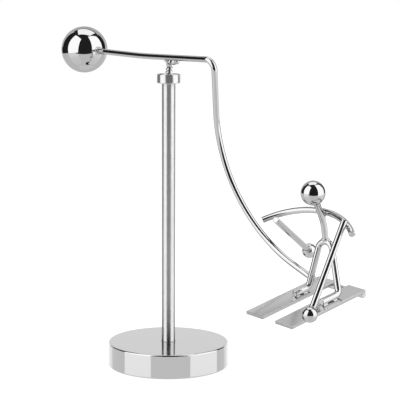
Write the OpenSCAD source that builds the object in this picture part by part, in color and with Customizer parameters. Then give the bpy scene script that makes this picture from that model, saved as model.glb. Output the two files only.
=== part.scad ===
// Balancing skier: a wire skier and a ball weight share one bent arm, which rocks on a point
// above a turned post. The origin is the middle of the pad's underside, +Z is up, the arm lies
// above +X and -X, and the skier faces -Y.

/* [Stand] */
// Diameter of the round base
base_d = 80; // [70:1:100]
// Height of the steel base disc
base_h = 16; // [14:0.5:24]
// Radius of the rounded rims of the base
base_edge_r = 1; // [0.4:0.1:2]
// Diameter of the post
post_d = 9; // [8:0.5:12]
// Height of post showing between base and cap
post_show = 172.5; // [165:0.5:190]
// Diameter of the cap on the post
cap_d = 15.5; // [14.5:0.5:20]
// Height of the cap
cap_h = 6; // [5.5:0.5:8]
// Chamfer round the cap and the ends of the screw
edge_chamfer = 0.4; // [0.2:0.1:0.6]
// Width of the dish in the cap
dish_d = 12.4; // [11:0.1:13]
// Depth of the dish in the cap
dish_depth = 2.1; // [1.8:0.1:2.5]

/* [Hidden fixings] */
// Diameter of the foam pad under the base
pad_d = 70; // [60:1:74]
// Thickness of the pad
pad_t = 1.5; // [1:0.1:2.5]
// Depth of the recess that the pad is stuck in
pad_recess = 1; // [0.5:0.1:1.5]
// Diameter of the screw that holds the post
screw_d = 5; // [4:0.5:6]
// Length of that screw under its head
screw_l = 18; // [16:1:20]
// Diameter of the screw's head
head_d = 8.5; // [8:0.1:9]
// Height of the screw's head
head_h = 5; // [4:0.1:5]
// Width across the corners of the socket in the head
socket_d = 4.6; // [4:0.1:5]
// Diameter of the washer under the head
washer_d = 10; // [10:0.5:11]
// Thickness of the washer
washer_t = 1; // [0.8:0.1:1.2]
// Diameter of the counterbore for head and washer
counterbore_d = 12; // [12:0.5:14]
// Depth of the shallow seat that the post stands in
post_seat = 2; // [1:0.5:4]
// Diameter of the spigot under the cap
spigot_d = 5; // [4:0.1:6]
// Length of that spigot
spigot_l = 8; // [6:1:12]

/* [Pivot] */
// Diameter of the hard cup let into the dish
cup_d = 6; // [5:0.1:7]
// Height of the cup
cup_h = 2; // [1.6:0.1:2.2]
// Radius of the round dimple in the cup
dimple_r = 2; // [1.8:0.1:2.5]
// Depth of the dimple
dimple_depth = 0.55; // [0.4:0.05:0.7]
// Diameter of the hard ball at the tip of the stud
tip_d = 3; // [2.6:0.1:3.4]
// Diameter of the threaded stud
stud_d = 4.6; // [4:0.1:5]
// Length of the stud's pointed end, from the middle of the tip
stud_point = 2.6; // [2.4:0.1:3.2]
// Diameter of the stud's end where it holds the tip
stud_nose_d = 2.1; // [1.8:0.1:2.4]
// Slant of the stud towards the skier, in degrees
stud_slant = 20; // [10:1:24]
// Reach of the braze beyond the stud
braze_w = 2; // [1:0.1:2.6]
// Height of the braze's hollow part, down the stud
braze_h = 2; // [1:0.1:3]
// Height of the braze's domed part, up the arm
braze_dome = 1.4; // [0.8:0.1:2]

/* [Balance arm] */
// Diameter of all the bright rod in the arm and the skier
rod_d = 4; // [3.4:0.1:4.4]
// Chamfer of that rod's free ends
rod_chamfer = 0.3; // [0.1:0.1:0.6]
// Diameter of the ball weight
weight_d = 32; // [28:0.1:36]
// Distance of the ball weight behind the pivot
weight_x = 88.1; // [80:0.05:95]
// Height of the ball weight's middle above the pivot
weight_z = 13; // [11:0.1:15]
// Depth that the arm goes into the ball weight
ball_socket = 8; // [6:0.5:12]
// Place of the slight bow in the beam, behind the pivot
bow_x = 24; // [15:1:30]
// Height of the bow above the pivot
bow_z = 11.5; // [10:0.1:12.5]
// Radius of the bow
bow_r = 500; // [200:50:700]
// Distance of the front corner from the pivot
corner_x = 47.7; // [44:0.1:55]
// Height of the front corner above the pivot
corner_z = 12.4; // [11:0.1:14]
// Bend radius of the front corner
corner_r = 6.2; // [5:0.1:9]
// Place of the point that the long sweep rounds off
sweep_x = 30; // [26:0.1:34]
// Drop of that point below the pivot
sweep_z = 90.1; // [86:0.1:94]
// Radius of the long sweep
sweep_r = 88.4; // [80:0.1:92]
// Slope of the straight end that carries the skis, in degrees
end_slope = 3.8; // [2:0.1:6]
// Distance over which the sweep eases into that straight end
low_lead = 4; // [3:0.1:6]
// Distance of the arm's outer end from the pivot
arm_reach = 151.9; // [148:0.1:165]
// Drop of the arm's outer end below the pivot
arm_drop = 128.2; // [120:0.1:135]
// Lean of the whole balancer about the arm when it is at rest, in degrees
lean = 12.2; // [9:0.1:15]

/* [Skis] */
// Length of a ski
ski_l = 63.1; // [55:0.1:75]
// Width of a ski
ski_w = 14.2; // [12:0.1:16]
// Thickness of a ski
ski_t = 2; // [1.5:0.1:2.5]
// Radius of a ski's corners, seen from above
ski_corner_r = 0.5; // [0.2:0.1:2]
// Distance from the middle of one ski to the middle of the other
ski_spacing = 24.5; // [22:0.1:32]
// Overhang of the skis behind the arm's rod
ski_tail = 0.2; // [0:0.1:4]
// Distance of the middle between the skis from the arm's end
ski_inset = 17.7; // [17:0.1:22]

/* [Skier] */
// Distance between the feet
stance = 22.6; // [20:0.2:26]
// Distance of the middle between the feet from the middle between the skis
feet_x = 1.9; // [-1:0.1:3]
// Distance of the right ankle in front of the arm's rod
right_ankle_y = 19.5; // [14:0.1:21]
// Distance of the left ankle in front of the arm's rod
left_ankle_y = 16.8; // [14:0.1:21]
// Distance of the toes in front of the arm's rod
toe_y = 31.8; // [28:0.1:36]
// Bend radius of the ankles
ankle_r = 4; // [3:0.5:5]
// Length of the legs from the ankles to where their lines would meet above the hip
leg_l = 45.7; // [40:0.1:50]
// Distance of that meeting point from the middle between the skis
hip_x = -3.6; // [-6:0.1:0]
// Radius of the round hip between the legs
hip_r = 5.2; // [5:0.2:7]
// Backward lean of the legs, in degrees
leg_lean = 18; // [14:0.5:22]
// Length of the lower back, from hip to waist
hip_to_waist = 12.3; // [10:0.1:15]
// Length from waist to the middle of the head
waist_to_head = 21.9; // [21:0.1:26]
// Forward lean of the chest, in degrees
chest_lean = 17.6; // [12:0.1:24]
// Bend radius of the waist
waist_r = 35; // [20:1:50]
// Diameter of the head
skull_d = 15; // [13:0.5:18]
// Depth that the back goes into the head
neck_socket = 4; // [3:0.5:5]

/* [Arms and poles] */
// Distance of the shoulders above the waist, along the back
shoulder_up = 5; // [4.5:0.1:8]
// Bow radius of the rod that makes both arms
arms_r = 47.4; // [42:0.1:56]
// Sweep of the right arm along that bow, in degrees
right_sweep = 52.3; // [47:0.1:57]
// Sweep of the left arm along that bow, in degrees
left_sweep = 40.4; // [37:0.1:48]
// Dip of the hands below the shoulders, in degrees
arms_dip = 22.6; // [16:0.5:30]
// Place of the right pole along the right arm, in degrees
right_grip = 42.1; // [38:0.1:46]
// Place of the left pole along the left arm, in degrees
left_grip = 30.1; // [27:0.1:34]
// Length of a pole from its top to the middle of its ball
pole_l = 59.2; // [54:0.1:64]
// Length of pole above the hand
pole_top = 2.2; // [1.5:0.1:4]
// Diameter of the ball at the foot of a pole
pole_ball_d = 9.5; // [8:0.5:11]
// Depth that a pole goes into its ball
pole_socket = 4; // [3:0.5:5]
// Forward swing of the left pole, in degrees
left_swing = 40.9; // [34:0.1:44]
// Backward swing of the right pole, in degrees
right_swing = 47.3; // [42:0.1:54]
// Outward splay of the left pole, in degrees
left_splay = 3.8; // [1:0.1:8]
// Outward splay of the right pole, in degrees
right_splay = 16.7; // [12:0.1:20]

/* [Fits] */
// Radial clearance of the pad in its recess and of the screw through base and washer
loose_fit = 0.2; // [0.1:0.05:0.4]
// Room left at the blind ends of the post's holes and over the screw's head
end_room = 0.5; // [0.3:0.1:1]
// Radial clearance of a rod or screw in its hole
hole_fit = 0.05; // [0.02:0.01:0.1]
// Clearance of the cup in its pocket and of the tip in its dimple
pivot_fit = 0.05; // [0.03:0.01:0.1]
// Gap left between two rods that cross
touch_gap = 0.02; // [0.01:0.01:0.1]

/* [Hidden] */

$fn = 96;
// Sides of a rod's round section
rod_sides = 48;
// Loss of diameter where a rod is bent and its skin stretches
bend_thinning = 0.02;
// Length over which a straight stretch runs into a bend
bend_lap = 0.05;
// Length by which a cut runs past the face it opens
over = 1;
// Angle between the points of a curved outline
curve_step = 10;

// Heights in the stand
base_z0 = pad_t - pad_recess;
base_top = base_z0 + base_h;
post_z0 = base_top - post_seat;
post_top = base_top + post_show;
cap_top = post_top + cap_h;
counterbore_h = head_h + washer_t + end_room;
washer_z0 = pad_t + counterbore_h - washer_t;
screw_z0 = washer_z0 - head_h;
screw_hole_top = washer_z0 + screw_l + end_room;
dish_r = (dish_d * dish_d / 4 + dish_depth * dish_depth) / (2 * dish_depth);

// The tip sits in the dimple, and its middle is where everything turns
cup_rim_drop = dish_depth - (dish_r - sqrt(dish_r * dish_r - cup_d * cup_d / 4));
cup_top = cap_top - cup_rim_drop;
pivot_z = cup_top - dimple_depth + pivot_fit + tip_d / 2;

// The arm's corner points, seen from the pivot
weight_at = [-weight_x, 0, weight_z];
bow_at = [-bow_x, 0, bow_z];
corner_at = [corner_x, 0, corner_z];
sweep_at = [sweep_x, 0, -sweep_z];
arm_end = [arm_reach, 0, -arm_drop];
arm_start = weight_at + unit(bow_at - weight_at) * (weight_d / 2 - ball_socket);
end_dir = [cos(end_slope), 0, -sin(end_slope)];
// The straight end starts where the far ski's outer edge is
low_at = arm_end - end_dir * (ski_inset + ski_spacing / 2 + ski_w / 2 + low_lead);
low_r = low_lead / tan(acos(unit(low_at - sweep_at) * end_dir) / 2);

// Where the stud's line meets the arm's line
beam_slope = (corner_z - bow_z) / (corner_x + bow_x);
arm_over_z = (bow_z + bow_x * beam_slope) / (1 - tan(stud_slant) * beam_slope);
arm_over_tip = [arm_over_z * tan(stud_slant), 0, arm_over_z];

// The skier's own frame: origin on the rod between the skis, +X along the rod, +Z off the skis
skier_at = arm_end - end_dir * ski_inset;
ski_z = rod_d / 2 + touch_gap;
foot_z = ski_z + ski_t + rod_d / 2 + touch_gap;
right_ankle_at = [feet_x - stance / 2, -right_ankle_y, foot_z];
left_ankle_at = [feet_x + stance / 2, -left_ankle_y, foot_z];
legs_meet_at = [
    hip_x,
    leg_l * sin(leg_lean) - (right_ankle_y + left_ankle_y) / 2,
    foot_z + leg_l * cos(leg_lean)
];
// The hip's bend cuts the corner where the legs meet, and its middle carries the back
right_leg_dir = unit(right_ankle_at - legs_meet_at);
left_leg_dir = unit(left_ankle_at - legs_meet_at);
half_straddle = acos(right_leg_dir * left_leg_dir) / 2;
hip_at = legs_meet_at
    + unit(right_leg_dir + left_leg_dir) * hip_r * (1 / sin(half_straddle) - 1);
waist_at = hip_at + [0, 0, hip_to_waist];
chest_dir = [0, -sin(chest_lean), cos(chest_lean)];
head_at = waist_at + chest_dir * waist_to_head;
shoulder_at = waist_at + chest_dir * shoulder_up;
arms_at = shoulder_at + [0, cos(chest_lean), sin(chest_lean)] * (rod_d + touch_gap);

function unit(v) = v / norm(v);
function turn_x(a, v) = [v.x, v.y * cos(a) - v.z * sin(a), v.y * sin(a) + v.z * cos(a)];
// A point of the arms' bow, a degrees to the left of the back, and the bow's direction there
function on_arms(a) = arms_at
    + turn_x(arms_dip, [arms_r * sin(a), arms_r * cos(a) - arms_r, 0]);
function along_arms(a) = turn_x(arms_dip, [cos(a), -sin(a), 0]);
// A pole's downward direction from its swing forward and its splay towards +X
function pole_dir(swing, splay) =
    [sin(splay), -cos(splay) * sin(swing), -cos(splay) * cos(swing)];
// Where a pole's centreline passes the hand, in front of the arm
function hand(a, dir) = on_arms(a) + unit(cross(dir, along_arms(a))) * (rod_d + touch_gap);

left_dir = pole_dir(left_swing, left_splay);
right_dir = pole_dir(-right_swing, -right_splay);
left_pole_top = hand(left_grip, left_dir) - left_dir * pole_top;
right_pole_top = hand(-right_grip, right_dir) - right_dir * pole_top;
left_ball_at = left_pole_top + left_dir * pole_l;
right_ball_at = right_pole_top + right_dir * pole_l;

// Places its children with X, Y and Z along three given directions
module framed(at, x, y, z) {
    multmatrix([
        [x.x, y.x, z.x, at.x],
        [x.y, y.y, z.y, at.y],
        [x.z, y.z, z.z, at.z],
        [0, 0, 0, 1]
    ])
        children();
}

// Stands its children at a point with +Z along a direction
module aimed(at, dir) {
    z = unit(dir);
    x = unit(cross(z, abs(z.y) < 0.9 ? [0, 1, 0] : [1, 0, 0]));
    framed(at, x, cross(z, x), z)
        children();
}

// The chamfered tip of a free rod end, which carries the rod on to a point
module rod_tip(at, dir) {
    tip_r = (rod_d - bend_thinning) / 2;
    aimed(at - dir * rod_chamfer, dir)
        rotate_extrude($fn = rod_sides)
            polygon([
                [0, -bend_lap],
                [tip_r, -bend_lap],
                [tip_r, 0],
                [tip_r - rod_chamfer, rod_chamfer],
                [0, rod_chamfer]
            ]);
}

// A straight piece of rod
module rod(from, to, d = rod_d) {
    aimed(from, to - from)
        cylinder(h = norm(to - from), d = d, $fn = rod_sides);
}

// A bent piece of rod that rounds off the corner at a point, between two directions
module bend(corner, dir_in, dir_out, r, d = rod_d) {
    angle = acos(dir_in * dir_out);
    outward = unit(dir_in * (dir_in * dir_out) - dir_out);
    framed(corner - dir_in * r * tan(angle / 2), outward, dir_in, cross(outward, dir_in))
        translate([-r, 0, 0])
            rotate_extrude(angle = angle, $fn = max(96, ceil(360 / angle) * 10))
                translate([r, 0])
                    circle(d = d - bend_thinning, $fn = rod_sides);
}

// One rod bent at each inner point of a path, each with its own radius
module bent_rod(path, radii, d = rod_d) {
    last = len(path) - 1;
    dirs = [for (i = [0:last - 1]) unit(path[i + 1] - path[i])];
    cut = [for (i = [0:last]) i == 0 || i == last
        ? 0
        : radii[i - 1] * tan(acos(dirs[i - 1] * dirs[i]) / 2)];
    union() {
        for (i = [0:last - 1])
            rod(path[i] + dirs[i] * max(cut[i] - bend_lap, 0),
                path[i + 1] - dirs[i] * max(cut[i + 1] - bend_lap, 0), d);
        for (i = [1:last - 1])
            bend(path[i], dirs[i - 1], dirs[i], radii[i - 1], d);
    }
}

// A ball with a blind hole for a rod that comes in from a direction
module drilled_ball(at, d, dir, depth) {
    aimed(at, dir)
        difference() {
            sphere(d = d);
            translate([0, 0, d / 2 - depth - hole_fit])
                cylinder(h = depth + hole_fit + over, d = rod_d + 2 * hole_fit, $fn = rod_sides);
        }
}

// The balancer's attitude at rest, about the pivot
module balanced() {
    translate([0, 0, pivot_z])
        rotate([lean, 0, 0])
            children();
}

// The skier's frame at the arm's end
module on_skis() {
    balanced()
        translate(skier_at)
            rotate([0, end_slope, 0])
                children();
}

// A disc with both rims rounded
module rounded_disc(d, h, r) {
    rotate_extrude()
        union() {
            square([d / 2 - r, h]);
            translate([0, r])
                square([d / 2, h - 2 * r]);
            for (y = [r, h - r])
                translate([d / 2 - r, y])
                    circle(r = r);
        }
}

// The arm as a rod of a given diameter, up to the chamfer at its outer end
module arm_rod(d = rod_d) {
    bent_rod([
        arm_start, bow_at, corner_at, sweep_at, low_at, arm_end - end_dir * rod_chamfer
    ], [bow_r, corner_r, sweep_r, low_r], d);
}

module base_disc() {
    color("silver")
        difference() {
            translate([0, 0, base_z0])
                rounded_disc(base_d, base_h, base_edge_r);
            cylinder(h = pad_t, d = pad_d + 2 * loose_fit);
            cylinder(h = pad_t + counterbore_h, d = counterbore_d);
            cylinder(h = base_top, d = screw_d + 2 * loose_fit);
            translate([0, 0, post_z0])
                cylinder(h = post_seat + over, d = post_d + 2 * hole_fit);
        }
}

module base_pad() {
    color("dimgray")
        cylinder(h = pad_t, d = pad_d);
}

module base_screw() {
    color("gray")
        translate([0, 0, screw_z0])
            difference() {
                union() {
                    cylinder(h = head_h, d = head_d);
                    translate([0, 0, head_h])
                        cylinder(h = screw_l - edge_chamfer, d = screw_d - 2 * hole_fit);
                    translate([0, 0, head_h + screw_l - edge_chamfer])
                        cylinder(h = edge_chamfer, d1 = screw_d - 2 * hole_fit,
                                 d2 = screw_d - 2 * hole_fit - 2 * edge_chamfer);
                }
                translate([0, 0, -over])
                    cylinder(h = over + head_h / 2, d = socket_d, $fn = 6);
            }
}

module base_washer() {
    color("gray")
        translate([0, 0, washer_z0])
            difference() {
                cylinder(h = washer_t, d = washer_d);
                translate([0, 0, -over])
                    cylinder(h = washer_t + 2 * over, d = screw_d + 2 * loose_fit);
            }
}

module post() {
    color("silver")
        difference() {
            translate([0, 0, post_z0])
                cylinder(h = post_top - post_z0, d = post_d);
            translate([0, 0, post_z0 - over])
                cylinder(h = screw_hole_top - post_z0 + over, d = screw_d);
            translate([0, 0, post_top - spigot_l - end_room])
                cylinder(h = spigot_l + end_room + over, d = spigot_d + 2 * hole_fit);
        }
}

module top_cap() {
    color("silver")
        difference() {
            union() {
                translate([0, 0, post_top])
                    rotate_extrude()
                        polygon([
                            [0, 0],
                            [cap_d / 2 - edge_chamfer, 0],
                            [cap_d / 2, edge_chamfer],
                            [cap_d / 2, cap_h - edge_chamfer],
                            [cap_d / 2 - edge_chamfer, cap_h],
                            [0, cap_h]
                        ]);
                translate([0, 0, post_top - spigot_l])
                    cylinder(h = spigot_l, d = spigot_d);
            }
            translate([0, 0, cap_top - dish_depth + dish_r])
                sphere(r = dish_r, $fn = 256);
            translate([0, 0, cup_top - cup_h])
                cylinder(h = cup_h + over, d = cup_d + 2 * pivot_fit);
        }
}

module bearing_cup() {
    color("gray")
        difference() {
            translate([0, 0, cup_top - cup_h])
                cylinder(h = cup_h, d = cup_d);
            translate([0, 0, cup_top - dimple_depth + dimple_r])
                sphere(r = dimple_r);
        }
}

module pivot_ball() {
    color("gray")
        translate([0, 0, pivot_z])
            sphere(d = tip_d);
}

// The stud before it is fitted to the arm and the tip, about the tip's middle
module stud_blank() {
    rotate([0, stud_slant, 0])
        rotate_extrude()
            polygon([
                [0, 0],
                [stud_nose_d / 2, 0],
                [stud_nose_d / 2, stud_point - (stud_d - stud_nose_d) / 2],
                [stud_d / 2, stud_point],
                [stud_d / 2, bow_z / cos(stud_slant) + rod_d],
                [0, bow_z / cos(stud_slant) + rod_d]
            ]);
}

module pivot_stud() {
    color("silver")
        balanced()
            difference() {
                stud_blank();
                sphere(d = tip_d + 2 * touch_gap);
                arm_rod(rod_d + 2 * touch_gap);
                translate(arm_over_tip + [0, 0, rod_d])
                    cube([3 * stud_d, 3 * stud_d, 2 * rod_d], center = true);
            }
}

// The braze's bulge about the stud, hollow on its way down and domed on its way up
module braze_blank() {
    side = stud_d / 2 + braze_w;
    translate(arm_over_tip)
        rotate([0, stud_slant, 0])
            rotate_extrude()
                polygon(concat(
                    [[0, 0]],
                    [for (t = [90:-curve_step:0])
                        [side * cos(t), braze_dome * sin(t) - braze_dome]],
                    [for (t = [90 - curve_step:-curve_step:0])
                        [side - braze_w * cos(t), -braze_dome - braze_h * (1 - sin(t))]],
                    [[0, -braze_dome - braze_h]]
                ));
}

module pivot_braze() {
    color("gold")
        balanced()
            difference() {
                braze_blank();
                rotate([0, stud_slant, 0])
                    cylinder(h = 2 * bow_z, d = stud_d + 2 * touch_gap);
                arm_rod(rod_d + 2 * touch_gap);
            }
}

module balance_arm() {
    color("silver")
        balanced() {
            arm_rod();
            rod_tip(arm_end, end_dir);
        }
}

module counterweight_ball() {
    color("silver")
        balanced()
            drilled_ball(weight_at, weight_d, bow_at - weight_at, ball_socket);
}

module ski(side) {
    color("silver")
        on_skis()
            translate([side * ski_spacing / 2 - ski_w / 2, ski_tail - ski_l, ski_z])
                linear_extrude(ski_t)
                    union() {
                        translate([ski_corner_r, 0])
                            square([ski_w - 2 * ski_corner_r, ski_l]);
                        translate([0, ski_corner_r])
                            square([ski_w, ski_l - 2 * ski_corner_r]);
                        for (x = [ski_corner_r, ski_w - ski_corner_r])
                            for (y = [ski_corner_r, ski_l - ski_corner_r])
                                translate([x, y])
                                    circle(r = ski_corner_r);
                    }
}

module ski_right() {
    ski(-1);
}

module ski_left() {
    ski(1);
}

// The rod of both legs, in the skier's frame, up to the chamfers at the toes
module legs_rod(d = rod_d) {
    bent_rod([
        [right_ankle_at.x, rod_chamfer - toe_y, foot_z],
        right_ankle_at,
        legs_meet_at,
        left_ankle_at,
        [left_ankle_at.x, rod_chamfer - toe_y, foot_z]
    ], [ankle_r, hip_r, ankle_r], d);
}

module legs_wire() {
    color("silver")
        on_skis() {
            legs_rod();
            for (side = [-1, 1])
                rod_tip([feet_x + side * stance / 2, -toe_y, foot_z], [0, -1, 0]);
        }
}

module torso_wire() {
    color("silver")
        on_skis()
            difference() {
                bent_rod([hip_at, waist_at, head_at - chest_dir * (skull_d / 2 - neck_socket)],
                         [waist_r]);
                legs_rod(rod_d + 2 * touch_gap);
            }
}

module head_ball() {
    color("silver")
        on_skis()
            drilled_ball(head_at, skull_d, -chest_dir, neck_socket);
}

module arms_wire() {
    color("silver")
        on_skis() {
            translate(arms_at)
                rotate([arms_dip, 0, 0])
                    translate([0, -arms_r, 0])
                        rotate([0, 0, 90 - left_sweep])
                            rotate_extrude(angle = left_sweep + right_sweep, $fn = 192)
                                translate([arms_r, 0])
                                    circle(d = rod_d, $fn = rod_sides);
            rod_tip(on_arms(left_sweep) + along_arms(left_sweep) * rod_chamfer,
                    along_arms(left_sweep));
            rod_tip(on_arms(-right_sweep) - along_arms(-right_sweep) * rod_chamfer,
                    -along_arms(-right_sweep));
        }
}

// A pole from its top to the bottom of the hole in its ball
module pole(top, ball_at, dir) {
    color("silver")
        on_skis() {
            rod_tip(top, -dir);
            rod(top + dir * rod_chamfer, ball_at - dir * (pole_ball_d / 2 - pole_socket));
        }
}

module pole_right() {
    pole(right_pole_top, right_ball_at, right_dir);
}

module pole_left() {
    pole(left_pole_top, left_ball_at, left_dir);
}

module pole_ball_right() {
    color("silver")
        on_skis()
            drilled_ball(right_ball_at, pole_ball_d, -right_dir, pole_socket);
}

module pole_ball_left() {
    color("silver")
        on_skis()
            drilled_ball(left_ball_at, pole_ball_d, -left_dir, pole_socket);
}

base_disc();
base_pad();
base_screw();
base_washer();
post();
top_cap();
bearing_cup();
pivot_ball();
pivot_stud();
pivot_braze();
balance_arm();
counterweight_ball();
ski_right();
ski_left();
legs_wire();
torso_wire();
head_ball();
arms_wire();
pole_right();
pole_left();
pole_ball_right();
pole_ball_left();
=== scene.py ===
# %% [markdown]
# # A balancing skier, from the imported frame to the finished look
# The real ornament is bright plated steel: a round base and a turned post carry a small dished
# cap, and a wire skier rocks on it, held up by a ball weight on the other end of one bent arm.
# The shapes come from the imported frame. This script gives them their finishes, adds the thread
# and the other small forms, and builds the studio that a mirror finish needs to look like metal.

# %% Load the frame
import math

import bmesh
import bpy
from mathutils import Matrix, Vector, noise
from mathutils.bvhtree import BVHTree


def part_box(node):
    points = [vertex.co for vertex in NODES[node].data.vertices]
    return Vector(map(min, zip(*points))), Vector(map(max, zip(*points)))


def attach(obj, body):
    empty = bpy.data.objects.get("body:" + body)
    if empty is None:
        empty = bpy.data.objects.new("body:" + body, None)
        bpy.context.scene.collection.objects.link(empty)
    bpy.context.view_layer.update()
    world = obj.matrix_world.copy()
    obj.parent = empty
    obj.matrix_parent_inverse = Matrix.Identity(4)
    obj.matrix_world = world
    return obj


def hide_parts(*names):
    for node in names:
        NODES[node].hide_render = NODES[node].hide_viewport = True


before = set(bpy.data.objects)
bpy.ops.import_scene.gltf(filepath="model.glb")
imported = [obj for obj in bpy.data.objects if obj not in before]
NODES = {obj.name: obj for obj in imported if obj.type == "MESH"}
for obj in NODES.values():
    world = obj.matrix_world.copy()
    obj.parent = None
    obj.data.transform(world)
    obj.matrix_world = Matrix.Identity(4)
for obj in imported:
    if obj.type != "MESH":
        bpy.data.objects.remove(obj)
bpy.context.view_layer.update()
MM = 0.001

# %% [markdown]
# ## The camera
# A long lens a metre away flattens the object the way a product photograph does. The camera
# stands a little above the middle of the object and looks slightly down. Its place is given in
# the camera's own terms: how far round the object it stands, how far out, and how high.

# %% Place the camera
CAMERA_TURN = math.radians(49.149)
CAMERA_DISTANCE = 1.00376
CAMERA_HEIGHT = 0.26519
CAMERA_PITCH = math.radians(8.693)
CAMERA_ROLL = math.radians(0.241)
CAMERA_SIDESTEP = 0.020793
FOCAL_PIXELS = 1537.31
IMAGE_PIXELS = 400
SENSOR_WIDTH = 36.0
NEAREST_SEEN = 0.05

front = Vector((math.sin(CAMERA_TURN), -math.cos(CAMERA_TURN), 0))
side = Vector((math.cos(CAMERA_TURN), math.sin(CAMERA_TURN), 0))
look = -front * math.cos(CAMERA_PITCH) - Vector((0, 0, math.sin(CAMERA_PITCH)))
above = side.cross(look)
right = side * math.cos(CAMERA_ROLL) + above * math.sin(CAMERA_ROLL)
upright = above * math.cos(CAMERA_ROLL) - side * math.sin(CAMERA_ROLL)

camera_data = bpy.data.cameras.new("camera")
camera_data.sensor_width = SENSOR_WIDTH
camera_data.lens = FOCAL_PIXELS / IMAGE_PIXELS * SENSOR_WIDTH
camera_data.clip_start = NEAREST_SEEN
camera = bpy.data.objects.new("camera", camera_data)
bpy.context.scene.collection.objects.link(camera)
turn = Matrix((right, upright, -look)).transposed().to_4x4()
place = front * CAMERA_DISTANCE + Vector((0, 0, CAMERA_HEIGHT)) + right * CAMERA_SIDESTEP
camera.matrix_world = Matrix.Translation(place) @ turn
bpy.context.scene.camera = camera
print("camera at", [round(x, 3) for x in place], "lens", round(camera_data.lens, 1))

# %% [markdown]
# ## Small helpers for materials
# A finish is a chain of nodes. The first helper below adds a node, sets its plain values and
# joins its inputs in one call, so each material further down stays short enough to read.

# %% Helpers that start a material, add its nodes and end it
def add(tree, kind, values=None, links=None, **settings):
    node = tree.nodes.new(kind)
    for name, value in settings.items():
        setattr(node, name, value)
    for socket, value in (values or {}).items():
        node.inputs[socket].default_value = value
    for socket, source in (links or {}).items():
        tree.links.new(source, node.inputs[socket])
    return node


def new_material(name):
    material = bpy.data.materials.new(name)
    material.use_nodes = True
    material.node_tree.nodes.clear()
    return material, material.node_tree


def finish_with(tree, shader):
    add(tree, "ShaderNodeOutputMaterial", links={"Surface": shader.outputs[0]})


# %% [markdown]
# ## Bright plate
# Chromium is a plain grey mirror that gives back a little over half of the light. A
# plain mirror looks too perfect, so a soft wave in the plate bends reflections a little, and
# faint wiping marks change the roughness. Both patterns are noise in Object coordinates, so
# they stay on the metal when the skier rocks.

# %% Make the bright plate
def grey(level):
    return (level, level, level, 1)


PLATE_COLOR = grey(0.55)


def bright_plate(name, wave, smooth, dull, rim):
    material, tree = new_material(name)
    where = add(tree, "ShaderNodeTexCoord").outputs["Object"]
    wiping = add(tree, "ShaderNodeTexNoise", {"Scale": 130.0, "Detail": 5.0, "Distortion": 1.4},
                 {"Vector": where})
    rough = add(tree, "ShaderNodeMapRange",
                {"From Min": 0.35, "From Max": 0.75, "To Min": smooth, "To Max": dull},
                {"Value": wiping.outputs["Fac"]})
    swell = add(tree, "ShaderNodeTexNoise", {"Scale": 45.0, "Detail": 1.0}, {"Vector": where})
    bump = add(tree, "ShaderNodeBump", {"Strength": wave, "Distance": 0.001},
               {"Height": swell.outputs["Fac"]})
    shader = add(tree, "ShaderNodeBsdfPrincipled",
                 {"Base Color": PLATE_COLOR, "Metallic": 1.0, "Specular Tint": grey(rim)},
                 {"Roughness": rough.outputs["Result"], "Normal": bump.outputs["Normal"]})
    finish_with(tree, shader)
    return material


ball_plate = bright_plate("ball_plate", wave=0.004, smooth=0.02, dull=0.05, rim=0.7)
rod_plate = bright_plate("rod_plate", wave=0.01, smooth=0.03, dull=0.08, rim=0.85)
bead_plate = bright_plate("bead_plate", wave=0.05, smooth=0.05, dull=0.12, rim=0.8)
print("bright plates:", ball_plate.name, rod_plate.name, bead_plate.name)

# %% [markdown]
# ## Drawn bar
# The skis are cut from flat bar, which is drawn through a die. The die leaves fine lines along
# the bar, so the noise is stretched along the skis. A Mapping node of the Texture kind turns
# the pattern by the lean of the skis before it stretches it.

# %% Make the drawn bar
LEAN = math.radians(12.2)
BAR_COLOR = grey(0.595)
LINE_WIDTH = 0.4 * MM
LINE_LENGTH = 25 * MM


def drawn_bar(name, smooth, dull):
    material, tree = new_material(name)
    where = add(tree, "ShaderNodeTexCoord").outputs["Object"]
    along = add(tree, "ShaderNodeMapping",
                {"Rotation": (LEAN, 0, 0), "Scale": (LINE_WIDTH, LINE_LENGTH, LINE_WIDTH)},
                {"Vector": where}, vector_type="TEXTURE")
    lines = add(tree, "ShaderNodeTexNoise", {"Scale": 1.0, "Detail": 3.0},
                {"Vector": along.outputs["Vector"]})
    rough = add(tree, "ShaderNodeMapRange",
                {"From Min": 0.35, "From Max": 0.7, "To Min": smooth, "To Max": dull},
                {"Value": lines.outputs["Fac"]})
    swell = add(tree, "ShaderNodeTexNoise", {"Scale": 60.0, "Detail": 1.0}, {"Vector": where})
    waves = add(tree, "ShaderNodeBump", {"Strength": 0.008, "Distance": 0.001},
                {"Height": swell.outputs["Fac"]})
    bump = add(tree, "ShaderNodeBump", {"Strength": 0.004, "Distance": 0.0002},
               {"Height": lines.outputs["Fac"], "Normal": waves.outputs["Normal"]})
    shader = add(tree, "ShaderNodeBsdfPrincipled",
                 {"Base Color": BAR_COLOR, "Metallic": 1.0, "Specular Tint": grey(0.95)},
                 {"Roughness": rough.outputs["Result"], "Normal": bump.outputs["Normal"]})
    finish_with(tree, shader)
    return material


ski_plate = drawn_bar("ski_plate", smooth=0.16, dull=0.2)
print("drawn lines in mm:", LINE_WIDTH / MM, "wide and", LINE_LENGTH / MM, "long")
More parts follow.
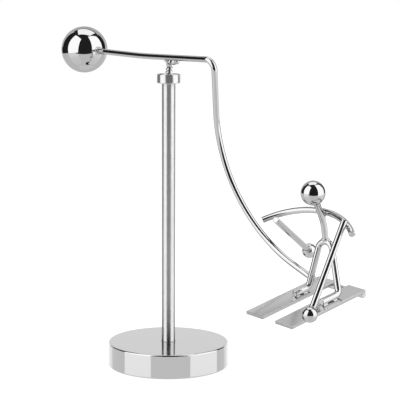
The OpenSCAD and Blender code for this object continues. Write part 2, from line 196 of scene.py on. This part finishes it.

# %% [markdown]
# ## Turned plate
# The base, post and cap come off a lathe before they are plated. The tool leaves rings too
# fine to see, which smear a reflection along the post but keep it sharp around the post. That
# is an anisotropic gloss whose direction runs round the axis, given by a radial Tangent node.
# Handling leaves a nick here and there. Each is a small dent round the seed of a Voronoi cell,
# so only the seeds that lie close to the surface show.
# The three greys differ more than one plating would: each was matched to a single picture, so the
# differences between them are painted light and shade, not a difference in the plating.

# %% Make the turned plate
# These three greys are one plating; how far they differ is painted light and shade.
BASE_COLOR = grey(0.575)
POST_COLOR = grey(0.7)
CAP_COLOR = grey(0.65)
LEAST_ROUGH = 0.95
MOST_ROUGH = 1.08
NICKS_PER_METRE = 75.0
NICK_SHARE = 0.05


def turned_plate(name, color, roughness, anisotropy, rim):
    material, tree = new_material(name)
    where = add(tree, "ShaderNodeTexCoord").outputs["Object"]
    wiping = add(tree, "ShaderNodeTexNoise", {"Scale": 90.0, "Detail": 4.0, "Distortion": 1.0},
                 {"Vector": where})
    rough = add(tree, "ShaderNodeMapRange",
                {"From Min": 0.35, "From Max": 0.75, "To Min": roughness * LEAST_ROUGH,
                 "To Max": roughness * MOST_ROUGH},
                {"Value": wiping.outputs["Fac"]})
    nicks = add(tree, "ShaderNodeTexVoronoi", {"Scale": NICKS_PER_METRE}, {"Vector": where})
    dent = add(tree, "ShaderNodeMapRange", {"From Max": NICK_SHARE},
               {"Value": nicks.outputs["Distance"]})
    bump = add(tree, "ShaderNodeBump", {"Strength": 0.5, "Distance": 0.0003},
               {"Height": dent.outputs["Result"]})
    around = add(tree, "ShaderNodeTangent", direction_type="RADIAL", axis="Z")
    shader = add(tree, "ShaderNodeBsdfPrincipled",
                 {"Base Color": color, "Metallic": 1.0, "Specular Tint": grey(rim),
                  "Anisotropic": anisotropy, "Anisotropic Rotation": 0.25},
                 {"Roughness": rough.outputs["Result"], "Tangent": around.outputs["Tangent"],
                  "Normal": bump.outputs["Normal"]})
    finish_with(tree, shader)
    return material


post_plate = turned_plate("post_plate", POST_COLOR, roughness=0.36, anisotropy=1.0, rim=0.6)
cap_plate = turned_plate("cap_plate", CAP_COLOR, roughness=0.28, anisotropy=1.0, rim=0.8)
base_plate = turned_plate("base_plate", BASE_COLOR, roughness=0.05, anisotropy=0.6, rim=1.0)
print("turned plates:", post_plate.name, cap_plate.name, base_plate.name)

# %% [markdown]
# ## Steel that is not plated, and the foam pad
# The cup and the tip inside the pivot are hard ground steel. The ring at the post's foot takes the
# same steel, but it is a dark ring that stands in for the shaded gap there, so it is painted
# shade.
# The screw and washer are plain fixing steel, and the sides of the skis are filed, with a darker
# grey that is painted shade dimming their reflection. All three steels have a grain that is only
# roughness and a faint bump. The pad is black closed-cell foam, so it has small pits, and the
# pits are painted darker, which is painted shade.

# %% Make the steel and the foam
def plain_steel(name, color, smooth, dull):
    material, tree = new_material(name)
    where = add(tree, "ShaderNodeTexCoord").outputs["Object"]
    grain = add(tree, "ShaderNodeTexNoise", {"Scale": 900.0, "Detail": 3.0}, {"Vector": where})
    rough = add(tree, "ShaderNodeMapRange", {"To Min": smooth, "To Max": dull},
                {"Value": grain.outputs["Fac"]})
    bump = add(tree, "ShaderNodeBump", {"Strength": 0.05, "Distance": 0.0005},
               {"Height": grain.outputs["Fac"]})
    shader = add(tree, "ShaderNodeBsdfPrincipled", {"Base Color": color, "Metallic": 1.0},
                 {"Roughness": rough.outputs["Result"], "Normal": bump.outputs["Normal"]})
    finish_with(tree, shader)
    return material


def foam(name):
    material, tree = new_material(name)
    where = add(tree, "ShaderNodeTexCoord").outputs["Object"]
    pits = add(tree, "ShaderNodeTexVoronoi", {"Scale": 1400.0}, {"Vector": where})
    # The pits are painted darker than the foam round them: painted shade.
    shade = add(tree, "ShaderNodeMapRange", {"From Max": 0.6, "To Min": 0.012, "To Max": 0.03},
                {"Value": pits.outputs["Distance"]})
    color = add(tree, "ShaderNodeCombineColor",
                links={c: shade.outputs["Result"] for c in ("Red", "Green", "Blue")})
    bump = add(tree, "ShaderNodeBump", {"Strength": 0.6, "Distance": 0.0003},
               {"Height": pits.outputs["Distance"]})
    shader = add(tree, "ShaderNodeBsdfPrincipled", {"Roughness": 0.85},
                 {"Base Color": color.outputs["Color"], "Normal": bump.outputs["Normal"]})
    finish_with(tree, shader)
    return material


# This steel also colours the dark ring at the post's foot, which is painted shade.
hard_steel = plain_steel("hard_steel", grey(0.42), smooth=0.12, dull=0.2)
fixing_steel = plain_steel("fixing_steel", grey(0.5), smooth=0.28, dull=0.4)
# The filed sides' darker grey is painted shade that dims their reflection; their roughness is
# real.
filed_steel_and_shade = plain_steel("filed_steel_and_shade", grey(0.42), smooth=0.3, dull=0.42)
foam_pad = foam("foam_pad")
print("plain finishes:", hard_steel.name, fixing_steel.name, filed_steel_and_shade.name, foam_pad.name)

# %% [markdown]
# ## Dressing the frame's own pieces
# A frame piece whose shape is already right keeps its mesh and only takes a finish. Every piece
# that isn't listed takes the rods' plate.

# %% Assign finishes to the frame's pieces
FINISHES = {
    "base_disc": base_plate, "post": post_plate, "top_cap": cap_plate,
    "base_pad": foam_pad, "base_screw": fixing_steel, "base_washer": fixing_steel,
    "bearing_cup": hard_steel, "pivot_ball": hard_steel,
    "counterweight_ball": ball_plate, "head_ball": ball_plate,
    "pole_ball_right": ball_plate, "pole_ball_left": ball_plate,
    "ski_right": ski_plate, "ski_left": ski_plate,
}
for name, node in NODES.items():
    node.data.materials.clear()
    node.data.materials.append(FINISHES.get(name, rod_plate))
print("dressed:", len(NODES))

# %% [markdown]
# ## A place in the balancer
# The stud and the braze beads belong to the balancer, which hangs from the pivot and leans back
# a little at rest. Its frame starts at the middle of the tip, so a shape that is drawn upright
# there is turned by the lean and carried to the pivot in one step.

# %% The balancer's frame and a piece that rides in it
STUD_SLANT = math.radians(20)


def middle(node):
    low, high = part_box(node)
    return (Vector(low) + Vector(high)) / 2


pivot = middle("pivot_ball")
balancer = Matrix.Translation(pivot) @ Matrix.Rotation(LEAN, 4, "X")
stud_frame = balancer @ Matrix.Rotation(STUD_SLANT, 4, "Y")


def put_in_scene(name, mesh, finish):
    data = bpy.data.meshes.new(name)
    mesh.to_mesh(data)
    mesh.free()
    data.materials.append(finish)
    piece = bpy.data.objects.new(name, data)
    bpy.context.scene.collection.objects.link(piece)
    return piece


def new_piece(name, mesh, finish, body="balancer"):
    piece = put_in_scene(name, mesh, finish)
    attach(piece, body)
    return piece


print("pivot in mm:", [round(x / MM, 2) for x in pivot])

# %% [markdown]
# ## The threaded stud
# A coarse threaded stud stands between the tip and the arm, and its crests show above the cap.
# A thread could be a bump in the material, but its outline would stay straight. Here a small
# ridge is spun round the axis while it climbs, the path that a die cuts, on a core that is
# spun from its own outline.

# %% Helpers that spin an outline and shade what it makes
SEAM_WELD = 1e-7
FLAT_END = 0.9


def spun(mesh, outline, steps=48):
    corners = [mesh.verts.new((r, 0, z)) for r, z in outline]
    edges = [mesh.edges.new(pair) for pair in zip(corners, corners[1:])]
    bmesh.ops.spin(mesh, geom=corners + edges, cent=(0, 0, 0), axis=(0, 0, 1),
                   angle=2 * math.pi, steps=steps, use_merge=True)
    bmesh.ops.remove_doubles(mesh, verts=mesh.verts, dist=SEAM_WELD)


def shade_round(mesh):
    bmesh.ops.recalc_face_normals(mesh, faces=mesh.faces)
    for face in mesh.faces:
        face.smooth = abs(face.normal.z) < FLAT_END


# %% Spin the core and the thread
STUD_NOSE = 1.05 * MM
STUD_ROOT = 1.5 * MM
STUD_NECK = 2.0 * MM
STUD_CREST = 2.3 * MM
STUD_END = 0.9 * MM
CONE_START = 1.2 * MM
NECK_CONE_START = 5.6 * MM
NECK_START = 6.2 * MM
STUD_TOP = 10.4 * MM
THREAD_PITCH = 2.2 * MM
THREAD_START = 1.6 * MM
THREAD_TURNS = 1.7
TURN_STEPS = 32
FLANK_SHARE = 0.42
LAND_SHARE = 0.06
RIDGE_BURIED = 0.3 * MM


def thread_ridge(mesh):
    flank = FLANK_SHARE * THREAD_PITCH
    land = LAND_SHARE * THREAD_PITCH
    inside = STUD_ROOT - RIDGE_BURIED
    profile = [(inside, -flank), (STUD_ROOT, -flank), (STUD_CREST, -land), (STUD_CREST, land),
               (STUD_ROOT, flank), (inside, flank)]
    face = mesh.faces.new([mesh.verts.new((-r, 0, THREAD_START + z)) for r, z in profile])
    bmesh.ops.spin(mesh, geom=[face], cent=(0, 0, 0), axis=(0, 0, 1),
                   dvec=(0, 0, THREAD_PITCH / TURN_STEPS), angle=2 * math.pi * THREAD_TURNS,
                   steps=round(THREAD_TURNS * TURN_STEPS))


stud_mesh = bmesh.new()
spun(stud_mesh, [(0, STUD_END), (STUD_NOSE, STUD_END), (STUD_NOSE, CONE_START),
                 (STUD_ROOT, THREAD_START), (STUD_ROOT, NECK_CONE_START),
                 (STUD_NECK, NECK_START), (STUD_NECK, STUD_TOP), (0, STUD_TOP)])
thread_ridge(stud_mesh)
shade_round(stud_mesh)
bmesh.ops.transform(stud_mesh, matrix=stud_frame, verts=stud_mesh.verts)
print("stud faces:", len(stud_mesh.faces))
stud = new_piece("threaded_stud", stud_mesh, rod_plate)
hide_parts("pivot_stud")

# %% [markdown]
# ## The ring at the post's foot
# A thin dark ring round the post's foot shows as a fine dark line on the base. It is painted
# shade: it stands in for the shaded gap where the post meets the base. Its outline is closed and
# stands off the axis, so spinning it makes a ring that the post passes through.

# %% Spin the foot ring
RING_INSIDE = 4.45 * MM
RING_OUTSIDE = 4.95 * MM
RING_HEIGHT = 0.4 * MM
RING_EDGE = 0.15 * MM
RING_STEPS = 64

base_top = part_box("base_disc")[1][2]
ring_mesh = bmesh.new()
spun(ring_mesh, [(RING_INSIDE, 0), (RING_OUTSIDE, 0), (RING_OUTSIDE, RING_HEIGHT - RING_EDGE),
                 (RING_OUTSIDE - RING_EDGE, RING_HEIGHT), (RING_INSIDE, RING_HEIGHT),
                 (RING_INSIDE, 0)], steps=RING_STEPS)
shade_round(ring_mesh)
bmesh.ops.translate(ring_mesh, verts=ring_mesh.verts, vec=(0, 0, base_top))
print("ring faces:", len(ring_mesh.faces), "base top in mm:", round(base_top / MM, 2))
# The dark ring is painted shade for the gap at the post's foot.
new_piece("foot_shade_ring", ring_mesh, hard_steel, body="stand")

# %% [markdown]
# ## Skis with broken edges
# A file takes the sharp edges off the cut bar, and the narrow slope it leaves catches a line of
# light. The frame's ski has the right size, so the new piece starts as a copy of its mesh. The
# loose triangles are merged, flat faces are dissolved into one, and a bevel breaks the edges.
# The drawn faces above and below keep the bar's finish, and all the rest is filed: rougher, and
# painted a darker grey, which is painted shade that dims the reflection on the sides.

# %% Break the edges of the skis
BROKEN_EDGE = 0.3 * MM
BEVEL_STEPS = 3
SHARP = math.radians(50)
SAME_PLANE = math.radians(1)
TRIANGLE_WELD = 1e-6
LYING_FLAT = 0.9
DRAWN, FILED_AND_SHADE = 0, 1


def broken_edges(name, node):
    mesh = bmesh.new()
    mesh.from_mesh(NODES[node].data)
    bmesh.ops.remove_doubles(mesh, verts=mesh.verts, dist=TRIANGLE_WELD)
    bmesh.ops.dissolve_limit(mesh, angle_limit=SAME_PLANE, verts=mesh.verts, edges=mesh.edges)
    sharp = [edge for edge in mesh.edges
             if len(edge.link_faces) == 2 and edge.calc_face_angle() > SHARP]
    bmesh.ops.bevel(mesh, geom=sharp, offset=BROKEN_EDGE, affect="EDGES", segments=BEVEL_STEPS,
                    profile=0.5, material=-1)
    top = balancer.to_3x3() @ Vector((0, 0, 1))
    for face in mesh.faces:
        # The sides and broken edges take the darker filed steel, whose grey is painted shade.
        face.material_index = DRAWN if abs(face.normal.dot(top)) > LYING_FLAT else FILED_AND_SHADE
    print(name, "edges broken:", len(sharp), "faces:", len(mesh.faces))
    piece = new_piece(name, mesh, ski_plate)
    piece.data.materials.append(filed_steel_and_shade)
    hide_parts(node)


for name in ("ski_right", "ski_left"):
    broken_edges(name + "_filed", name)

# %% [markdown]
# ## Braze beads
# Every joint in the wire figure is brazed before plating, and the filler leaves a small uneven
# bead. Lumps of metal that flowed together have no neat outline, so each bead starts as a few
# overlapping balls. A voxel remesh fuses them into one skin, smoothing draws the skin into
# hollows as surface tension does, and a little noise takes away the last of the evenness.

# %% Helpers that place a lump and fuse lumps into one bead
BEAD_VOXEL = 0.17 * MM
BEAD_SMOOTHING = 6
BEAD_ROUGHNESS = 0.12 * MM
WOBBLE_SIZE = 0.9 * MM


def lump(mesh, place, radius, facing=(0, 0, 1), flat=1.0):
    turned = Vector(facing).to_track_quat("Z", "Y").to_matrix().to_4x4()
    squashed = Matrix.Diagonal((1, 1, flat, 1))
    bmesh.ops.create_icosphere(mesh, subdivisions=3, radius=radius,
                               matrix=Matrix.Translation(place) @ turned @ squashed)


def fused(name, mesh):
    piece = new_piece(name, mesh, bead_plate)
    remesh = piece.modifiers.new("fuse", "REMESH")
    remesh.mode = "VOXEL"
    remesh.voxel_size = BEAD_VOXEL
    remesh.use_smooth_shade = True
    smooth = piece.modifiers.new("flow", "SMOOTH")
    smooth.factor = 0.5
    smooth.iterations = BEAD_SMOOTHING
    done = bpy.data.meshes.new_from_object(
        piece.evaluated_get(bpy.context.evaluated_depsgraph_get()))
    piece.modifiers.clear()
    for vertex in done.vertices:
        wobble = noise.noise(vertex.co / WOBBLE_SIZE)
        vertex.co += vertex.normal * wobble * BEAD_ROUGHNESS
    piece.data = done
    return piece


# %% [markdown]
# ### The bead under the arm
# The largest bead holds the stud. Its filler ran down the stud as a collar that widens towards
# the arm, built here as a cone, and one drop stayed hanging on the skier's side.

# %% Build the pivot bead
STUD_LENGTH = 12.62 * MM
COLLAR_DROP = 3.2 * MM
COLLAR_HEIGHT = 2.4 * MM
COLLAR_FOOT = 2.05 * MM
COLLAR_TOP = 3.9 * MM
# Each lump: how far along the arm, behind it and below it, and its radius, in mm
ARM_LUMPS = ((5.2, 1.0, 2.9, 1.7), (2.8, 0.6, 3.2, 2.0), (1.0, -1.0, 2.6, 1.7),
             (-2.2, 0, 2.6, 1.5), (-3.6, 0, 2.2, 1.1))

pivot_bead_mesh = bmesh.new()
collar = Matrix.Translation((0, 0, STUD_LENGTH - COLLAR_DROP))
bmesh.ops.create_cone(pivot_bead_mesh, cap_ends=True, segments=32, radius1=COLLAR_FOOT,
                      radius2=COLLAR_TOP, depth=COLLAR_HEIGHT, matrix=collar)
bmesh.ops.transform(pivot_bead_mesh, matrix=stud_frame, verts=pivot_bead_mesh.verts)
under_arm = stud_frame @ Vector((0, 0, STUD_LENGTH))
for along, behind, below, radius in ARM_LUMPS:
    drop = balancer.to_3x3() @ Vector((along, behind, -below)) * MM
    lump(pivot_bead_mesh, under_arm + drop, radius * MM)
pivot_bead = fused("pivot_bead", pivot_bead_mesh)
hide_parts("pivot_braze")
print("pivot bead faces:", len(pivot_bead.data.polygons))

# %% [markdown]
# ### The beads in the figure
# The frame's meshes say where the wires meet: every corner of one piece that lies closer to the
# other than a hair belongs to the joint, and the middle of those corners is the place for the
# bead. Two wires that cross touch in a point and get a round bead. A foot lies along its ski,
# so its bead is long and low.

# %% Find where two pieces meet
HAIR = 0.05 * MM


def corners_and_skin(node):
    data = NODES[node].data
    corners = [vertex.co.copy() for vertex in data.vertices]
    return corners, BVHTree.FromPolygons(corners, [face.vertices for face in data.polygons])


def meetings(one, other):
    (corners_a, skin_a), (corners_b, skin_b) = corners_and_skin(one), corners_and_skin(other)
    for corners, skin, sign in ((corners_a, skin_b, -1), (corners_b, skin_a, 1)):
        for corner in corners:
            place, normal, _, gap = skin.find_nearest(corner)
            yield gap, (corner + place) / 2, normal * sign


def joint_between(one, other):
    near = list(meetings(one, other))
    closest = min(gap for gap, _, _ in near)
    close = [(place, normal) for gap, place, normal in near if gap < closest + HAIR]
    centre = sum((place for place, _ in close), Vector()) / len(close)
    facing = sum((normal for _, normal in close), Vector()).normalized()
    return centre, facing


# %% Build the beads where wires cross
CROSSING_FLAT = 0.75
SECOND_LUMP = Vector((0.9, 0.3, -1.1)) * MM
SECOND_SHARE = 0.6
# Each crossing: the bead's name, the two pieces, and the bead's radius in mm
CROSSINGS = (("arms_bead", "arms_wire", "torso_wire", 1.9),
             ("left_hand_bead", "pole_left", "arms_wire", 1.9),
             ("right_hand_bead", "pole_right", "arms_wire", 1.8))

for name, one, other, radius in CROSSINGS:
    centre, facing = joint_between(one, other)
    bead_mesh = bmesh.new()
    lump(bead_mesh, centre, radius * MM, facing, flat=CROSSING_FLAT)
    lump(bead_mesh, centre + SECOND_LUMP, SECOND_SHARE * radius * MM)
    bead = fused(name, bead_mesh)
    print(name, [round(x / MM, 1) for x in centre], "faces:", len(bead.data.polygons))

# %% [markdown]
# Where a wire ends in a ball or on another wire, the filler makes a low collar round the wire.
# On another wire the same search gives the place. At a ball, the wire's end has corners inside
# it, so the line from the ball's middle through their middle gives the way the wire goes in.

# %% Helpers for a collar and for the place where a wire enters a ball
ROD = 4 * MM
COLLAR_FLAT = 0.38


def collar_bead(name, place, facing, radius, drops=()):
    bead_mesh = bmesh.new()
    lump(bead_mesh, place, radius, facing, flat=COLLAR_FLAT)
    for sideways, size in drops:
        lump(bead_mesh, place + Vector(sideways) * MM, size * MM)
    bead = fused(name, bead_mesh)
    print(name, [round(x / MM, 1) for x in place], "faces:", len(bead.data.polygons))


def entry(ball, wire):
    where = middle(ball)
    low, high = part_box(ball)
    radius = (high[0] - low[0]) / 2
    corners, _ = corners_and_skin(wire)
    inside = [corner for corner in corners if (corner - where).length < radius]
    end = sum(inside, Vector()) / len(inside)
    facing = (end - where).normalized()
    reach = math.sqrt(radius ** 2 - (ROD / 2) ** 2)
    return where + facing * reach, facing


# %% Build the collars
HIP_RADIUS = 2.8
# A drop that stayed hanging: its way from the collar's middle and its radius, in mm
WEIGHT_DROPS = (((0.6, -1.2, 1.6), 1.0),)
HIP_DROPS = (((1.5, -0.6, -0.3), 1.1),)
# Each collar: its name, the ball and the wire, its radius in mm, and its drops
COLLARS = (("weight_bead", "counterweight_ball", "balance_arm", 3.1, WEIGHT_DROPS),
           ("neck_bead", "head_ball", "torso_wire", 2.7, ()),
           ("left_foot_of_pole_bead", "pole_ball_left", "pole_left", 2.5, ()),
           ("right_foot_of_pole_bead", "pole_ball_right", "pole_right", 2.5, ()))

for name, ball, wire, radius, drops in COLLARS:
    place, facing = entry(ball, wire)
    collar_bead(name, place, facing, radius * MM, drops)

place, facing = joint_between("torso_wire", "legs_wire")
collar_bead("hip_bead", place, (0, 0, 1), HIP_RADIUS * MM, HIP_DROPS)

# %% [markdown]
# A foot lies flat on its ski and the arm's end lies flat under both skis, so these joints are
# lines. Such a joint is tacked near each end of the line, with a few lumps in a short row.

# %% Build the tacks along the feet and the arm's end
def contact_line(one, other):
    close = [(place, normal) for gap, place, normal in meetings(one, other) if gap < HAIR]
    facing = -sum((normal for _, normal in close), Vector())
    pairs = ((a, b) for a, _ in close for b, _ in close)
    return max(pairs, key=lambda pair: (pair[0] - pair[1]).length), facing.normalized()


TACK_STEPS = (0.08, 0.16, 0.24, 0.76, 0.84, 0.92)
TACK_RADIUS = 2.1 * MM
TACK_FLAT = 0.4
TACKS = (("right_foot_bead", "legs_wire", "ski_right"),
         ("left_foot_bead", "legs_wire", "ski_left"),
         ("right_ski_bead", "balance_arm", "ski_right"),
         ("left_ski_bead", "balance_arm", "ski_left"))

for name, wire, ski in TACKS:
    (start, end), facing = contact_line(wire, ski)
    tack_mesh = bmesh.new()
    for share in TACK_STEPS:
        lump(tack_mesh, start.lerp(end, share), TACK_RADIUS, facing, flat=TACK_FLAT)
    tack = fused(name, tack_mesh)
    print(name, "line in mm:", round((end - start).length / MM, 1),
          "facing:", [round(x, 2) for x in facing], "faces:", len(tack.data.polygons))

# %% [markdown]
# ## The studio
# A mirror shows the room, so the room is most of the work. Real product sets stand bright
# panels beside and above the object, leave the camera's side dark, and put a glossy white
# table under it. Cards are placed in the camera's terms: towards the camera, to its right,
# and up. They show only in reflections, so the picture's background stays plain.

# %% Helpers for the cards and their light
WHITE = grey(1)


def spot(towards, rightwards, height):
    return front * towards + side * rightwards + Vector((0, 0, height))


def glow(name, strength):
    material, tree = new_material(name)
    shader = add(tree, "ShaderNodeEmission", {"Color": WHITE, "Strength": strength})
    finish_with(tree, shader)
    return material


def faded_glow(name, bottom, top, height):
    material, tree = new_material(name)
    where = add(tree, "ShaderNodeTexCoord")
    split = add(tree, "ShaderNodeSeparateXYZ", links={"Vector": where.outputs["Object"]})
    fade = add(tree, "ShaderNodeMapRange",
               {"From Max": height, "To Min": bottom, "To Max": top},
               {"Value": split.outputs["Z"]})
    shader = add(tree, "ShaderNodeEmission", {"Color": WHITE},
                 {"Strength": fade.outputs["Result"]})
    finish_with(tree, shader)
    return material


def card(name, corners, material):
    mesh = bmesh.new()
    mesh.faces.new([mesh.verts.new(spot(*corner)) for corner in corners])
    piece = put_in_scene(name, mesh, material)
    piece.visible_camera = False
    piece.visible_diffuse = False
    piece.visible_shadow = False
    piece.visible_transmission = False


# %% [markdown]
# ### Bright panels and the backdrop
# Two bright panels stand at the sides and one hangs above, and the metal mirrors them as its
# brightest bands. Far behind the object stands a backdrop that is white at its foot and greyer
# further up.

# %% Build the bright cards
PANEL_TOP = 1.5
SIDE_GLOW = 1.75
TOP_GLOW = 1.6

panel_glow = glow("panel_glow", SIDE_GLOW)
top_glow = glow("top_glow", TOP_GLOW)
backdrop_glow = faded_glow("backdrop_glow", bottom=1.0, top=0.62, height=2.0)

card("panel_left", [(0.83, -0.39, PANEL_TOP), (0.82, -0.53, 0.005), (0.02, -0.80, 0.03),
                    (-0.06, -0.83, PANEL_TOP)], panel_glow)
card("panel_right", [(0.35, 0.34, PANEL_TOP), (0.37, 0.33, 0.005), (-0.32, 1.15, 0.03),
                     (-0.45, 1.11, PANEL_TOP)], panel_glow)
card("panel_top", [(0.03, -0.58, PANEL_TOP), (-1.05, -0.58, PANEL_TOP),
                   (-0.85, 0.78, PANEL_TOP), (0.13, 0.50, PANEL_TOP),
                   (0.13, 0.07, PANEL_TOP)], top_glow)
card("backdrop", [(-1.45, -1.25, 0.0), (-1.45, 1.35, 0.0), (-1.6, 1.35, 2.1),
                  (-1.6, -1.25, 2.1)], backdrop_glow)
print("glow of the panels:", SIDE_GLOW, "at the sides and", TOP_GLOW, "above")

# %% [markdown]
# ### Dark flags
# Photographers call a black card a flag. Flags stand at both sides and behind the camera, with
# one overhead and one low in front, and the metal mirrors them as the dark streaks that make it
# look hard. The ends of the side flags were moved until the streaks lay near the photograph's,
# so the left one reaches further back near the table than it does above.

# %% Build the dark cards
FLAG_LEFT = -1.0
FLAG_RIGHT = 1.3
FLAG_FRONT = 1.4
FLAG_BACK = -1.2
FLAG_TOP = 1.6
FLAG_FLOOR = 0.0005
FLAG_FLOOR_START = 0.5
FLAG_GLOW = 0.023

flag_black = glow("flag_black", FLAG_GLOW)

card("flag_left", [(FLAG_FRONT, FLAG_LEFT, 0.0), (-1.25, FLAG_LEFT, 0.0),
                   (-1.25, FLAG_LEFT, 0.22), (-0.98, FLAG_LEFT, 0.26),
                   (-0.98, FLAG_LEFT, FLAG_TOP), (FLAG_FRONT, FLAG_LEFT, FLAG_TOP)], flag_black)
card("flag_right", [(FLAG_FRONT, FLAG_RIGHT, 0.0), (FLAG_BACK, FLAG_RIGHT, 0.0),
                    (-1.5, FLAG_RIGHT, 0.6), (-1.5, 1.2, FLAG_TOP),
                    (FLAG_FRONT, FLAG_RIGHT, FLAG_TOP)], flag_black)
card("flag_front", [(FLAG_FRONT, FLAG_LEFT, 0.0), (FLAG_FRONT, FLAG_RIGHT, 0.0),
                    (FLAG_FRONT, FLAG_RIGHT, FLAG_TOP), (FLAG_FRONT, FLAG_LEFT, FLAG_TOP)],
     flag_black)
card("flag_roof", [(FLAG_FRONT, FLAG_LEFT, FLAG_TOP), (FLAG_FRONT, FLAG_RIGHT, FLAG_TOP),
                   (FLAG_BACK, FLAG_RIGHT, FLAG_TOP), (FLAG_BACK, FLAG_LEFT, FLAG_TOP)],
     flag_black)
card("flag_floor", [(FLAG_FLOOR_START, FLAG_LEFT, FLAG_FLOOR),
                    (FLAG_FLOOR_START, FLAG_RIGHT, FLAG_FLOOR),
                    (FLAG_FRONT, FLAG_RIGHT, FLAG_FLOOR), (FLAG_FRONT, FLAG_LEFT, FLAG_FLOOR)],
     flag_black)
print("flags stand", FLAG_FRONT, "m in front and", FLAG_TOP, "m high")

# %% [markdown]
# ### The table
# The table is glossy white. The camera and the reflections see it as plain white, and it keeps
# a faint soft shadow. In front of the object, where this camera doesn't look, it fades to pale
# grey, which is painted shade, so that white reflections still stand out when the object is seen
# from behind.

# %% Make the table
TABLE_REACH = 6.0


def frontwards_fade(tree, output, start, end, near, far):
    where = add(tree, "ShaderNodeTexCoord")
    forward = add(tree, "ShaderNodeVectorMath", {1: front}, {0: where.outputs[output]},
                  operation="DOT_PRODUCT")
    return add(tree, "ShaderNodeMapRange",
               {"From Min": start, "From Max": end, "To Min": near, "To Max": far},
               {"Value": forward.outputs["Value"]}, interpolation_type="SMOOTHSTEP")


def table_finish(name):
    material, tree = new_material(name)
    path = add(tree, "ShaderNodeLightPath")
    lit = add(tree, "ShaderNodeBsdfDiffuse", {"Color": grey(0.25)})
    # The front of the table is painted darker here: painted shade.
    fade = frontwards_fade(tree, "Object", start=0.1, end=0.35, near=0.9, far=0.55)
    paper = add(tree, "ShaderNodeEmission", {"Color": WHITE}, {"Strength": fade.outputs["Result"]})
    seen = add(tree, "ShaderNodeAddShader", links={0: lit.outputs[0], 1: paper.outputs[0]})
    gloss = add(tree, "ShaderNodeBsdfGlossy", {"Color": WHITE, "Roughness": 0.04})
    fresnel = add(tree, "ShaderNodeFresnel", {"IOR": 1.6})
    sheen = add(tree, "ShaderNodeMixShader", links={0: fresnel.outputs[0], 2: gloss.outputs[0]})
    white = add(tree, "ShaderNodeEmission", {"Color": WHITE, "Strength": 0.85})
    mirrored = add(tree, "ShaderNodeAddShader", links={0: sheen.outputs[0], 1: white.outputs[0]})
    both = add(tree, "ShaderNodeMixShader", links={0: path.outputs["Is Glossy Ray"],
                                                  1: seen.outputs[0], 2: mirrored.outputs[0]})
    finish_with(tree, both)
    return material


table_mesh = bmesh.new()
bmesh.ops.create_grid(table_mesh, x_segments=1, y_segments=1, size=TABLE_REACH)
table = put_in_scene("table", table_mesh, table_finish("table_white"))
print("table reaches", TABLE_REACH, "m each way")

# %% [markdown]
# ### The room
# The world lights the object at half strength, but the camera, reflections and glass see it at
# full white. For the camera alone it fades to pale grey on the camera's own side of the object,
# as the table does, and that shows only in views from behind.

# %% Make the room
world = bpy.data.worlds.new("studio")
world.use_nodes = True
bpy.context.scene.world = world
sky = world.node_tree
sky.nodes.clear()
path = add(sky, "ShaderNodeLightPath")
metal_or_eye = add(sky, "ShaderNodeMath", links={0: path.outputs["Is Camera Ray"],
                                                 1: path.outputs["Is Glossy Ray"]},
                   operation="MAXIMUM")
background_or_glass = add(sky, "ShaderNodeMath",
                          links={0: metal_or_eye.outputs[0],
                                 1: path.outputs["Is Transmission Ray"]},
                          operation="MAXIMUM")
strength = add(sky, "ShaderNodeMapRange", {"To Min": 0.5, "To Max": 1.0},
               {"Value": background_or_glass.outputs[0]})
fade = frontwards_fade(sky, "Generated", start=0.0, end=0.4, near=1.0, far=0.68)
seen_strength = add(sky, "ShaderNodeMix", links={0: path.outputs["Is Camera Ray"],
                                                 2: strength.outputs["Result"],
                                                 3: fade.outputs["Result"]})
background = add(sky, "ShaderNodeBackground", {"Color": WHITE},
                 {"Strength": seen_strength.outputs[0]})
add(sky, "ShaderNodeOutputWorld", links={"Surface": background.outputs[0]})
print("room nodes:", len(sky.nodes))

# %% [markdown]
# ### The lamps
# Three soft lamps give the even light and the faint shadow on the table. They are hidden from
# reflections, because the cards already stand for what the metal mirrors.

# %% Hang the lamps
LAMP_AIM = Vector((0, 0, 0.1))


def lamp(name, place, size, watts):
    data = bpy.data.lights.new(name, "AREA")
    data.shape = "DISK"
    data.size = size
    data.energy = watts
    piece = bpy.data.objects.new(name, data)
    piece.location = place
    piece.rotation_mode = "QUATERNION"
    piece.rotation_quaternion = (LAMP_AIM - place).to_track_quat("-Z", "Y")
    bpy.context.scene.collection.objects.link(piece)
    piece.visible_glossy = False


lamp("lamp_top", spot(-0.2, 0.0, 1.4), size=1.0, watts=12.0)
lamp("lamp_left", spot(0.5, -0.9, 0.9), size=0.8, watts=4.0)
lamp("lamp_right", spot(0.3, 0.9, 0.9), size=0.8, watts=4.0)
bpy.context.scene.view_settings.view_transform = "Standard"
print("lamps:", len(bpy.data.lights))
